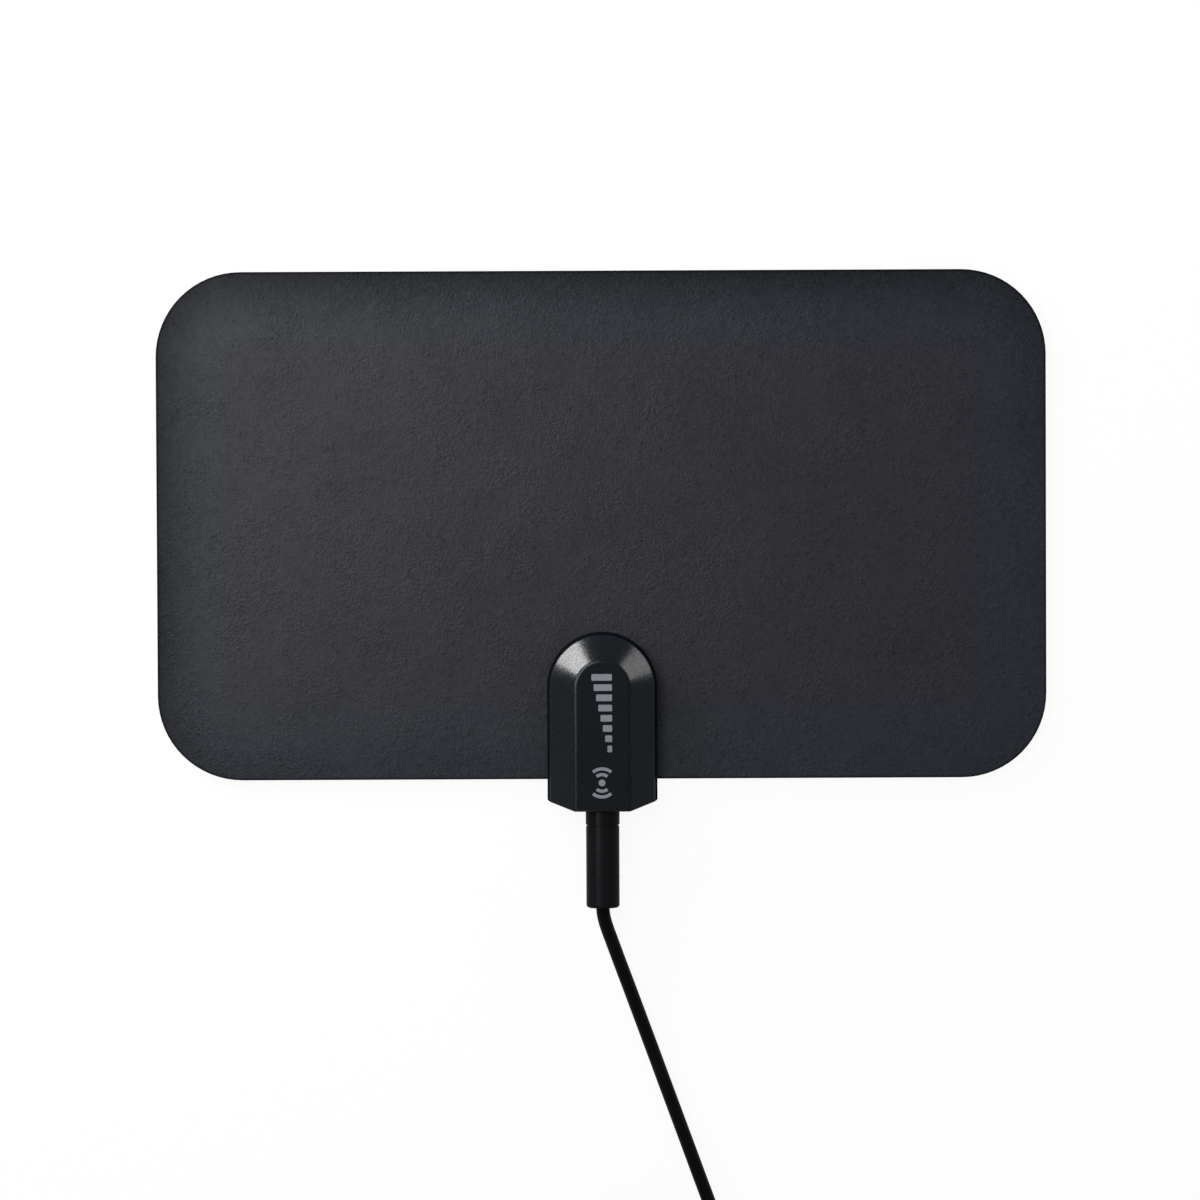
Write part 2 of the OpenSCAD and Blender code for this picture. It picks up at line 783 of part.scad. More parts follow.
// A block of ferrite with two holes along Y
module ferrite_core() {
    r = core_h / 2;
    color(FERRITE_GREY)
        translate([0, core_y + core_len / 2, core_hole_z])
            rotate([90, 0, 0])
                linear_extrude(core_len)
                    difference() {
                        union() {
                            for (x = [r - core_w / 2, core_w / 2 - r]) translate([x, 0]) circle(r);
                            square([core_w - 2 * r, core_h], center = true);
                        }
                        for (x = [-core_pitch / 2, core_pitch / 2])
                            translate([x, 0]) circle(d = core_hole_d);
                    }
}

// The winding: turns round the web between the holes, rising a wire's width and a little each
winding_steps = 16;
winding_rise = wire_d * 1.15;
function squarish(v) = sign(v) * pow(abs(v), 0.45);
function winding_point(i) =
    let (angle = 360 * i / winding_steps - 90)
    [
        (core_pitch / 2 + wire_d / 2) * squarish(cos(angle)),
        core_y + (core_len / 2 + wire_loop) * squarish(sin(angle)),
        core_hole_z + winding_rise * (i / winding_steps - wire_turns / 2)
    ];
module balun_winding() {
    last = wire_turns * winding_steps - 1;
    low_z = board_top_z + wire_d / 2 + 0.02;
    first_point = winding_point(1);
    last_point = winding_point(last);
    color(COPPER)
        tube(
            concat(
                [[first_point.x + 1.6, first_point.y - 1, low_z]],
                [[first_point.x + 0.9, first_point.y - 0.5, low_z + 0.1]],
                [for (i = [1:last]) winding_point(i)],
                [[last_point.x - 0.9, last_point.y - 0.8, low_z + 0.5]],
                [[last_point.x - 1.6, last_point.y - 1.2, low_z]]
            ),
            wire_d / 2, 6
        );
}

// The moulded strain relief: square flange, neck, collar, groove and barrel round the lead
module strain_relief() {
    neck_r = neck_d / 2;
    collar_r = collar_d / 2;
    barrel_r = barrel_d / 2;
    groove_r = collar_r - groove_deep;
    collar_top = fit / 2;
    collar_edge = 0.2;
    groove_end = collar_len + groove_w;
    end_corner = rounded(
        [barrel_r, groove_end], [barrel_r, relief_len], [0, relief_len], barrel_round, 6
    );
    outline = concat(
        [[0, -flange_far], [neck_r, -flange_far], [neck_r, collar_top]],
        [[collar_r - collar_edge, collar_top], [collar_r, collar_top + collar_edge]],
        [[collar_r, collar_len], [groove_r, collar_len], [groove_r, groove_end]],
        [[barrel_r, groove_end]],
        end_corner,
        [[0, relief_len]]
    );
    color(LEAD_BLACK)
        difference() {
            union() {
                on_lead_axis() rotate_extrude() polygon(outline);
                on_lead_axis(-flange_far)
                    translate([-flange_w / 2, -flange_w / 2, 0])
                        cube([flange_w, flange_w, flange_t]);
            }
            on_lead_axis(-flange_far - 1)
                cylinder(h = flange_far + relief_len + 2, d = cord_d + 2 * cord_fit);
            on_lead_axis(relief_len - mouth_deep)
                cylinder(h = mouth_deep + 0.01, d1 = cord_d + 2 * cord_fit, d2 = mouth_d);
        }
}

// The lead's jacket inside the strain relief and the housing
module cable_entry() {
    color(LEAD_BLACK)
        difference() {
            on_lead_axis(-jacket_far) cylinder(h = jacket_far + relief_len, d = cord_d);
            on_lead_axis(-jacket_far - 1)
                cylinder(h = jacket_hollow + 1, d = core_ins_d + 2 * braid_room);
        }
}

// Height of the conductor's pad and of the braid's pad
function pad_point(pad, d) = [pad.x, board_y + pad.y, board_top_z + d / 2];

// The insulation reaches to the bottom of the jacket's hollow, and the conductor starts inside it
insulation_far = jacket_far + insulation_out;
conductor_in = 1.8;
module cable_insulation() {
    color(NATURAL_WHITE)
        difference() {
            on_lead_axis(-insulation_far)
                cylinder(h = insulation_out + jacket_hollow - fit, d = core_ins_d);
            on_lead_axis(-insulation_far - 1)
                cylinder(h = conductor_in + 1 + fit, d = conductor_d + 2 * screw_fit);
        }
}

module cable_conductor() {
    bare_y = end_y + insulation_far;
    pad = pad_point(CONDUCTOR_PAD, conductor_d);
    color(COPPER)
        tube(
            [
                [0, bare_y - conductor_in, axis_h],
                [0, bare_y + 0.4, axis_h],
                [pad.x * 0.2, bare_y + (pad.y - bare_y) * 0.4, axis_h - 0.2],
                [pad.x * 0.8, pad.y - 0.3, pad.z + 0.2],
                [pad.x, pad.y + 0.9, pad.z]
            ],
            conductor_d / 2
        );
}

// The braid, twisted into a tail and led to the earth pad
module cable_braid() {
    start_y = end_y + jacket_far + braid_d / 2;
    pad = pad_point(BRAID_PAD, braid_d);
    color(COPPER)
        tube(
            [
                [core_ins_d / 2 + braid_d / 2 + 0.1, start_y - 0.1, axis_h],
                [core_ins_d / 2 + braid_d / 2 + 0.5, start_y + 0.8, axis_h - 0.1],
                [pad.x * 0.75, pad.y - 1.2, (axis_h + pad.z) / 2 + 0.2],
                [pad.x, pad.y, pad.z + 0.1],
                [pad.x + 0.2, pad.y + 1.2, pad.z]
            ],
            braid_d / 2
        );
}

module cable_run() {
    color(LEAD_BLACK) tube(RUN_ROUTE, cord_d / 2);
}

// The wound-up lead as one ring, with the size of its turns
module cable_coil() {
    corner = cord_d / 2;
    color(LEAD_BLACK)
        translate([coil_x, coil_y, coil_z])
            rotate_extrude($fn = 96)
                translate([coil_mid_d / 2 - bundle_w / 2, 0])
                    union() {
                        translate([corner, 0]) square([bundle_w - cord_d, bundle_h]);
                        translate([0, corner]) square([bundle_w, bundle_h - cord_d]);
                        for (x = [corner, bundle_w - corner], y = [corner, bundle_h - corner])
                            translate([x, y]) circle(corner);
                    }
}

module cable_end() {
    color(LEAD_BLACK) tube(END_ROUTE, cord_d / 2);
}

// A flat tie round the bundle, with its ends twisted together on top
module coil_tie() {
    inner_w = bundle_w + 2 * tie_fit;
    inner_h = bundle_h + tie_fit;
    corner = cord_d / 2;
    top_z = inner_h + 2 * tie_t;
    tail_t = 3 * tie_t;
    knot_h = tie_tail_w / 2;
    color(LEAD_BLACK)
        translate([coil_x, coil_y, 0])
            rotate(tie_angle)
                translate([coil_mid_d / 2, 0, 0]) {
                    translate([0, tie_w / 2, 0])
                        rotate([90, 0, 0])
                            linear_extrude(tie_w)
                                difference() {
                                    tie_outline(inner_w + 2 * tie_t, top_z, corner, 0);
                                    tie_outline(inner_w, inner_h, corner, tie_t);
                                }
                    translate([-tie_tail_w / 2, -tail_t / 2, top_z - tie_t / 2])
                        cube([tie_tail_w, tail_t, knot_h]);
                    translate([0, 0, top_z + knot_h / 2])
                        rotate([0, -90, 0])
                            linear_extrude(tie_tail, twist = 360 * tie_twists, slices = 18)
                                square([tail_t, tie_tail_w], center = true);
                }
}

module tie_outline(w, h, corner, lift) {
    for (x = [corner - w / 2, w / 2 - corner], y = [corner, h - corner])
        translate([x, y + lift]) circle(corner);
    translate([corner - w / 2, lift]) square([w - 2 * corner, h]);
    translate([-w / 2, corner + lift]) square([w, h - 2 * corner]);
}

// The moulded grip: a slotted, tapered tail and a fluted body
module plug_grip() {
    tail_r = cord_d / 2 + 1;
    shoulder_r = grip_d / 2 - 1.7;
    grip_r = grip_d / 2;
    flute_r = flute_d / 2;
    outline = concat(
        [[0, 0], [tail_r, 0], [shoulder_r, tail_len]],
        rounded([shoulder_r, tail_len], [grip_r, tail_len + 1], [grip_r, grip_len], 0.6),
        rounded([grip_r, tail_len + 1], [grip_r, grip_len], [0, grip_len], 0.8),
        [[0, grip_len]]
    );
    color(LEAD_BLACK)
        on_plug_axis()
            difference() {
                rotate_extrude() polygon(outline);
                tail_slot_cuts(shoulder_r);
                for (i = [0:flute_count - 1])
                    rotate(360 * (i + 0.5) / flute_count)
                        translate([grip_r + flute_r - flute_deep, 0, tail_len + flute_margin])
                            cylinder(h = grip_len - tail_len - 2 * flute_margin, r = flute_r, $fn = 24);
                translate([0, 0, -1]) cylinder(h = grip_len + 2, d = cord_d + 2 * cord_fit);
                translate([0, 0, body_at]) cylinder(h = grip_len, d = body_d + 2 * cord_fit);
            }
}

// Slots on alternate sides of the tail, which let it bend
module tail_slot_cuts(outer_r) {
    core_r = cord_d / 2 + 0.5;
    for (i = [1:tail_slots])
        translate([0, 0, tail_len * i / (tail_slots + 1)])
            rotate(90 * (i % 2))
                for (side = [-1, 1])
                    translate([side * (core_r + outer_r), 0, 0])
                        cube([2 * outer_r, 4 * outer_r, tail_slot_w], center = true);
}

// The metal body: a sleeve in the grip, a groove for the nut and a flange in front of it
module plug_body() {
    color(NICKEL)
        on_plug_axis()
            difference() {
                union() {
                    translate([0, 0, body_at + fit]) cylinder(h = swivel_at - body_at - fit, d = body_d);
                    translate([0, 0, swivel_at]) cylinder(h = front_flange_at - swivel_at, d = swivel_d);
                    translate([0, 0, front_flange_at])
                        cylinder(h = front_flange_t, d = front_flange_d);
                }
                cylinder(h = face_at + 1, d = insulator_d + 2 * screw_fit);
            }
}

// The coupling nut turns freely on the body's groove
module coupling_nut() {
    corner_d = nut_af / cos(30);
    lead_in = 0.5;
    color(NICKEL)
        on_plug_axis(nut_at)
            difference() {
                intersection() {
                    rotate(30) cylinder(h = nut_len, d = corner_d, $fn = 6);
                    nut_turning(corner_d / 2);
                }
                translate([0, 0, -1]) cylinder(h = nut_len, d = swivel_d + 2 * run_fit);
                translate([0, 0, nut_back]) cylinder(h = nut_len, d = thread_minor_d);
                translate([0, 0, nut_len - lead_in])
                    cylinder(h = 2 * lead_in, d1 = thread_minor_d, d2 = thread_minor_d + 4 * lead_in);
                thread_grooves(face_at - nut_at + run_fit, nut_len - lead_in);
            }
}

// The nut's thread, as a row of round grooves with the thread's section
module thread_grooves(from_z, to_z) {
    crest_r = thread_minor_d / 2;
    foot_r = crest_r - 2 * run_fit;
    crest_w = thread_pitch / 10;
    count = floor((to_z - from_z) / thread_pitch);
    rotate_extrude()
        for (i = [0:count - 1])
            translate([0, from_z + i * thread_pitch])
                polygon([
                    [foot_r, crest_w / 2], [crest_r + thread_deep, thread_pitch / 2],
                    [foot_r, thread_pitch - crest_w / 2]
                ]);
}

// The turned outside of the nut: both ends chamfered, with a plain round rim at the front
module nut_turning(corner_r) {
    rim_r = nut_af / 2 - 0.15;
    edge = 0.25;
    corner = corner_r - rim_r;
    rotate_extrude()
        polygon([
            [0, 0], [rim_r - edge, 0], [corner_r, corner], [corner_r, nut_len - nut_rim_len - corner],
            [rim_r, nut_len - nut_rim_len], [rim_r, nut_len - edge], [rim_r - edge, nut_len],
            [0, nut_len]
        ]);
}

module plug_insulator() {
    color(NATURAL_WHITE)
        on_plug_axis(body_at + fit)
            difference() {
                cylinder(h = face_at - body_at - fit, d = insulator_d);
                translate([0, 0, -1]) cylinder(h = grip_len, d = pin_held_d + 2 * screw_fit);
            }
}

// The contact pin, thicker where the insulator holds it
module plug_pin() {
    held_at = body_at + 2;
    point_len = 0.3;
    color(COPPER)
        on_plug_axis() {
            translate([0, 0, held_at]) cylinder(h = face_at - held_at, d = pin_held_d);
            translate([0, 0, face_at]) cylinder(h = pin_end - face_at - point_len, d = pin_d);
            translate([0, 0, pin_end - point_len]) cylinder(h = point_len, d1 = pin_d, d2 = pin_d / 2);
        }
}

front_sheet();
rear_sheet();
element_left();
element_right();
housing_front();
housing_rear();
cover_screws();
balun_board();
feed_rivets();
ferrite_core();
balun_winding();
strain_relief();
cable_entry();
cable_insulation();
cable_conductor();
cable_braid();
cable_run();
cable_coil();
cable_end();
coil_tie();
plug_grip();
plug_body();
coupling_nut();
plug_insulator();
plug_pin();
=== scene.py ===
"""Looks of a flat indoor television antenna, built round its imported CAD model.

Lengths are in millimetres up to the point where a mesh, a lamp or a node takes them in metres.
"""

import math

import bmesh
import bpy
from mathutils import Matrix, Vector


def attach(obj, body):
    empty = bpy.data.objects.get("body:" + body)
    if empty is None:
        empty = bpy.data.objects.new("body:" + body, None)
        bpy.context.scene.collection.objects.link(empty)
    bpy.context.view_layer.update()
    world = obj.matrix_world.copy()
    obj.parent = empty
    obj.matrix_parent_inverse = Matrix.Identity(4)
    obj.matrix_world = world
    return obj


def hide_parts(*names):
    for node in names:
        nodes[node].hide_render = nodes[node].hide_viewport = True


MM = 0.001
BODY = "antenna"
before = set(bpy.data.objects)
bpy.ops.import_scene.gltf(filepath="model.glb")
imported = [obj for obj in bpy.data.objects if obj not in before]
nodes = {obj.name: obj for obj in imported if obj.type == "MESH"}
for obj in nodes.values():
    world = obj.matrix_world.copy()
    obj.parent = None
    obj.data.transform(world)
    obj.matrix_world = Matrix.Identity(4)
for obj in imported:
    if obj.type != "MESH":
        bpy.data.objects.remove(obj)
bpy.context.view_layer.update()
scene = bpy.context.scene

# ---- Sizes that repeat the part's source ----
PANEL = Vector((210, 120))
PANEL_MIDDLE_Y = 3.6
CORNER_R = 20
# Height of the panel's front face and of the housing's flat top
FRONT_Z = 2.15
SHELL_TOP_Z = 10.95
# The middle of the lead where it leaves the strain relief
EXIT_Y = -86.6
AXIS_H = 5
CORD_R = 1.6
# The coil: its outermost turn's radius, and where the lead meets that turn and at what angle
TURN_R = 22.7
TURNS_WIDE = 4
TOUCH = Vector((32, -176.6))
LEAD_ANGLE = math.radians(20)
COIL = Vector((TOUCH.x - TURN_R * math.cos(LEAD_ANGLE), TOUCH.y - TURN_R * math.sin(LEAD_ANGLE)))
COIL_MID_R = TURN_R - (TURNS_WIDE - 1) * CORD_R
TIE_T = 0.4
# The end of the plug's grip, which the lead goes into: left of the coil's middle and below the coil
PLUG_LEFT = 31.8
PLUG_BELOW = 0.5
PLUG_AXIS_H = 5.55
PLUG = Vector((COIL.x - PLUG_LEFT, COIL.y - TURN_R - PLUG_BELOW, PLUG_AXIS_H))


# ---- Camera: straight down on the panel, as the photograph looks at it ----
CAMERA_HEIGHT = 1100
CAMERA_TILT = math.radians(1.45)
CAMERA_TURN = math.radians(0.25)
SENSOR_W = 36
LENS = 139.7
LOOK_AT = Vector((-0.4, -14.1, FRONT_Z))


def make_camera():
    data = bpy.data.cameras.new("camera")
    data.sensor_width = SENSOR_W
    data.lens = LENS
    data.clip_start, data.clip_end = 0.01, 20
    camera = bpy.data.objects.new("camera", data)
    back = Vector((0, math.sin(CAMERA_TILT), math.cos(CAMERA_TILT)))
    side = Vector((math.cos(CAMERA_TURN), -math.sin(CAMERA_TURN), 0))
    side = (side - side.dot(back) * back).normalized()
    up = back.cross(side)
    turn = Matrix((side, up, back)).transposed().to_4x4()
    camera.matrix_world = Matrix.Translation((LOOK_AT + CAMERA_HEIGHT * back) * MM) @ turn
    scene.collection.objects.link(camera)
    scene.camera = camera


make_camera()


# ---- Making pieces ----
UP = Vector((0, 0, 1))
SMOOTH_ANGLE = math.radians(35)


def new_piece(name, points, faces, slot):
    """A mesh piece from points in millimetres. It rides on the antenna; its slot is not used."""
    mesh = bpy.data.meshes.new(name)
    shape = bmesh.new()
    verts = [shape.verts.new(p * MM) for p in points]
    for face in faces:
        shape.faces.new([verts[i] for i in face])
    bmesh.ops.recalc_face_normals(shape, faces=shape.faces)
    shape.to_mesh(mesh)
    shape.free()
    mesh.shade_smooth()
    mesh.set_sharp_from_angle(angle=SMOOTH_ANGLE)
    piece = bpy.data.objects.new(name, mesh)
    scene.collection.objects.link(piece)
    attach(piece, BODY)
    return piece


def sweep(places, section, closed=False):
    """Points and faces of a section that is carried along places: (middle, side, up)."""
    n, rows = len(section), len(places)
    points = [m + side * a + up * b for m, side, up in places for a, b in section]
    faces = []
    for i in range(rows if closed else rows - 1):
        low, high = i * n, (i + 1) % rows * n
        faces += [(low + k, low + (k + 1) % n, high + (k + 1) % n, high + k) for k in range(n)]
    if not closed:
        faces += [tuple(range(n)), tuple((rows - 1) * n + k for k in range(n))]
    return points, faces


def ellipse(half_w, half_h, sides):
    angles = [math.tau * k / sides for k in range(sides)]
    return [(half_w * math.cos(a), half_h * math.sin(a)) for a in angles]


def along(points):
    """A place at each point, with directions that turn no more than the line does."""
    places, side = [], None
    for i, point in enumerate(points):
        way = (points[min(i + 1, len(points) - 1)] - points[max(i - 1, 0)]).normalized()
        side = way.cross(UP) if side is None else side - way * side.dot(way)
        side.normalize()
        places.append((point, side, side.cross(way)))
    return places


def smooth(t):
    t = min(max(t, 0), 1)
    return t * t * (3 - 2 * t)


def through(points, pieces):
    """Points on a Catmull-Rom curve through the given points, with some pieces in each stretch."""
    padded = [2 * points[0] - points[1], *points, 2 * points[-1] - points[-2]]
    found = []
    for a, b, c, d in zip(padded, padded[1:], padded[2:], padded[3:]):
        for i in range(pieces):
            t = i / pieces
            found.append(
                0.5 * (2 * b + (c - a) * t + (2 * a - 5 * b + 4 * c - d) * t * t
                       + (3 * b - a - 3 * c + d) * t ** 3)
            )
    return [*found, points[-1]]


# ---- The lead: one tube from the strain relief through the coil to the plug ----
LEAD_SIDES = 16
# Pieces of curve between two places of the run or of the end
PIECES = 4
# The run to the coil: [x, distance from the strain relief, share of its height there]
RUN_PLACES = [
    (0, 0, 1), (0, 0.6, 1), (0.2, 2.1, 0.97), (0.8, 4.4, 0.91), (2.4, 8.9, 0.75),
    (4.4, 14.4, 0.52), (6.6, 20.4, 0.29), (9, 27, 0.09), (11.6, 34.1, 0), (15.2, 44, 0),
    (18.9, 54.1, 0), (22.4, 63.7, 0), (25.4, 71.9, 0),
]
# The end from the coil to the plug: [share of the way there, share of the way down]
END_PLACES = [(0.17, 0.25), (0.37, 0.61), (0.58, 0.87), (0.78, 0.98), (0.92, 1), (1, 1)]
# The straight run ends this far before TOUCH, where all of the lead is still outside the coil. At
# a share of this distance it has risen by the tie's thickness, which the coil lies on.
RING_REACH = math.sqrt((TURN_R + CORD_R) ** 2 - (TURN_R - CORD_R) ** 2) + 0.3
CLIMBED_AT = 0.4
# The end starts at the coil's lower left, moved this far left, outwards and down
END_SHIFT = Vector((0.3, 0.1, 0.8))
# How far the lead goes into the plug
IN_PLUG = Vector((6, 0, 0))
# The winding steps inwards turn by turn, then up, then outwards and so on, with angles in degrees
LAYERS = 4
STEPS_PER_TURN = 84
STEP_ANGLE = 60
FIRST_STEP_AT = 280
COIL_TURNS = 15 * 360 + 110


def coil_steps():
    """When each step of the winding starts, in degrees, and what it does: move over or up."""
    steps, start = [], FIRST_STEP_AT
    for layer in range(LAYERS):
        over = (1 if layer % 2 else -1) * 2 * CORD_R
        for _ in range(TURNS_WIDE - 1):
            steps.append((start, over, 0))
            start += 360
        start -= STEP_ANGLE
        steps.append((start, 0, 2 * CORD_R))
        start += 360
    return steps[:-1]


def coil_point(degrees, steps):
    r, z = TURN_R, TIE_T + CORD_R
    for start, over, up in steps:
        share = smooth((degrees - start) / STEP_ANGLE)
        r += over * share
        z += up * share
    phi = LEAD_ANGLE - math.radians(degrees)
    return Vector((COIL.x + r * math.cos(phi), COIL.y + r * math.sin(phi), z))


def lead_points():
    run = [
        Vector((x, EXIT_Y - out, CORD_R + (AXIS_H - CORD_R) * lift)) for x, out, lift in RUN_PLACES
    ]
    way = Vector((math.sin(LEAD_ANGLE), -math.cos(LEAD_ANGLE), 0))
    run.append(Vector((*TOUCH, CORD_R)) - way * RING_REACH)
    run.append(Vector((*TOUCH, CORD_R + TIE_T)) - way * CLIMBED_AT * RING_REACH)
    steps = coil_steps()
    count = STEPS_PER_TURN * COIL_TURNS // 360
    coil = [coil_point(COIL_TURNS * i / count, steps) for i in range(count + 1)]
    start = Vector((COIL.x - RING_REACH, COIL.y - TURN_R, coil[-1].z)) - END_SHIFT
    end = [start] + [
        Vector((*start.xy.lerp(PLUG.xy, over), start.z + (PLUG.z - start.z) * down))
        for over, down in END_PLACES
    ]
    end.append(PLUG - IN_PLUG)
    # Two of the coil's points steer each curve into it, and their stretch is cut off again
    first = through(run + coil[:2], PIECES)[:-PIECES - 1]
    last = through(coil[-2:] + end, PIECES)[PIECES + 1:]
    return first + coil + last


lead_path = lead_points()
lead_round = ellipse(CORD_R, CORD_R, LEAD_SIDES)
lead = new_piece("lead", *sweep(along(lead_path), lead_round), "cord_vinyl")
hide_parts("cable_run", "cable_coil", "cable_end")


# ---- The tie: a ribbon with a wire in its middle, round the coil, and its two twisted ends ----
TIE_ANGLE = math.radians(20)
TIE_OUT = Vector((math.cos(TIE_ANGLE), math.sin(TIE_ANGLE), 0))
TIE_ALONG = Vector((-math.sin(TIE_ANGLE), math.cos(TIE_ANGLE), 0))
TIE_CENTRE = COIL + COIL_MID_R * TIE_OUT.xy
BUNDLE = 2 * CORD_R * TURNS_WIDE
TIE_GAP = 0.25
CORNER_STEPS = 8
# Half of the ribbon's cross-section: [distance from its middle, half thickness]
RIBBON = ((2, 0.03), (1.93, 0.1), (0.55, 0.11), (0.3, 0.17), (0, 0.2))
# The twisted ends
TAIL_LEN = 11
TAIL_Z = BUNDLE + 1.5
TAIL_ROWS = 72
TAIL_TWISTS = 3
TWIST_FROM = 0.06
TWIST_R = 0.33
STRAND = (0.68, 0.3)
STRAND_SIDES = 12
# In the first share of its length a strand starts further back, lower and nearer to the other one
ROOT_SHARE = 1 / 6
ROOT_BACK = 1.2
ROOT_DOWN = 0.35
ROOT_NEARER = 0.4
# In the last share of its length it parts from the other one
TIP_SHARE = 0.15
TIP_APART = 0.15


def tie_ribbon():
    corner = CORD_R + TIE_T / 2
    side = BUNDLE / 2 + TIE_GAP + TIE_T / 2 - corner
    low = TIE_T / 2 + corner
    high = BUNDLE + TIE_GAP + TIE_T + TIE_T / 2 - corner
    places = []
    for k, (u, v) in enumerate(((side, high), (-side, high), (-side, low), (side, low))):
        for i in range(CORNER_STEPS + 1):
            angle = math.radians(90 * (k + i / CORNER_STEPS))
            way = TIE_OUT * math.cos(angle) + UP * math.sin(angle)
            middle = Vector((*TIE_CENTRE, 0)) + TIE_OUT * u + UP * v + way * corner
            places.append((middle, TIE_ALONG, way))
    upper = [*RIBBON, *((-a, b) for a, b in RIBBON[-2::-1])]
    section = upper + [(a, -b) for a, b in upper[::-1]]
    ribbon = new_piece("tie_ribbon", *sweep(places, section, closed=True), "tie_vinyl")
    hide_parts("coil_tie")
    return ribbon


def tie_end(name, turn):
    """One of the two ends, twisted round each other over the coil, with its tip a little apart."""
    places = []
    start = Vector((*TIE_CENTRE, TAIL_Z))
    for i in range(TAIL_ROWS + 1):
        t = i / TAIL_ROWS
        sunk = 1 - smooth(t / ROOT_SHARE)
        angle = turn + math.tau * TAIL_TWISTS * max(t - TWIST_FROM, 0)
        radius = TWIST_R + TIP_APART * smooth((t - 1 + TIP_SHARE) / TIP_SHARE)
        way = TIE_ALONG * math.cos(angle) + UP * math.sin(angle)
        side = TIE_ALONG * -math.sin(angle) + UP * math.cos(angle)
        middle = start - TIE_OUT * (TAIL_LEN * t - ROOT_BACK * sunk) - UP * ROOT_DOWN * sunk
        middle += way * radius * (1 - ROOT_NEARER * sunk)
        places.append((middle, side, way))
    return new_piece(name, *sweep(places, ellipse(*STRAND, STRAND_SIDES)), "tie_vinyl")


tie_pieces = [tie_ribbon(), tie_end("tie_end_a", 0), tie_end("tie_end_b", math.pi)]


# ---- A generic printed mark on the housing: waves round a dot and a row of rising bars ----
# The mark reads along +Y. Its places are counted from its lower right corner: along it, and up.
PRINT_FROM = Vector((2.3, -61.2))
PRINT_H = 4.8
PRINT_T = 0.02
WAVES_AT = 4.4
DOT_R = 0.8
DOT_SIDES = 24
WAVE_RADII = (1.95, 3.3)
WAVE_W = 0.75
WAVE_HALF_ANGLE = 40
BARS = 8
BAR_FIRST, BAR_STEP = 11.6, 2.4
BAR_W = 1.55
BAR_LOW_H = 1.1
BAR_CORNER_R = 0.2


def arc(middle, radius, start, end, count=16):
    angles = [math.radians(start + (end - start) * i / count) for i in range(count + 1)]
    return [middle + radius * Vector((math.cos(a), math.sin(a))) for a in angles]


def wave(middle, radius, facing):
    low, high = facing - WAVE_HALF_ANGLE, facing + WAVE_HALF_ANGLE
    return (arc(middle, radius + WAVE_W / 2, low, high)
            + arc(middle, radius - WAVE_W / 2, high, low))


def bar(start, height):
    """A bar with rounded corners."""
    r = BAR_CORNER_R
    left, right, top = start + r, start + BAR_W - r, height - r
    outline = []
    for k, corner in enumerate(((right, top), (left, top), (left, r), (right, r))):
        outline += arc(Vector(corner), r, 90 * k, 90 * k + 90, 4)
    return outline


def mark_shapes():
    """Outlines of the mark, along its length and up, in millimetres."""
    middle = Vector((WAVES_AT, PRINT_H / 2))
    shapes = [arc(middle, DOT_R, 0, 360 - 360 / DOT_SIDES, DOT_SIDES - 1)]
    shapes += [wave(middle, radius, facing) for facing in (0, 180) for radius in WAVE_RADII]
    for i in range(BARS):
        height = BAR_LOW_H + (PRINT_H - BAR_LOW_H) * i / (BARS - 1)
        shapes.append(bar(BAR_FIRST + i * BAR_STEP, height))
    return shapes


def make_print():
    points, faces = [], []
    for shape in mark_shapes():
        first, n = len(points), len(shape)
        for z in (SHELL_TOP_Z, SHELL_TOP_Z + PRINT_T):
            points += [Vector((PRINT_FROM.x - p.y, PRINT_FROM.y + p.x, z)) for p in shape]
        faces += [[first + k for k in range(n)], [first + n + k for k in range(n)]]
        faces += [
            (first + k, first + (k + 1) % n, first + n + (k + 1) % n, first + n + k)
            for k in range(n)
        ]
    return new_piece("mark_print", points, faces, "shell_plastic")


mark = make_print()


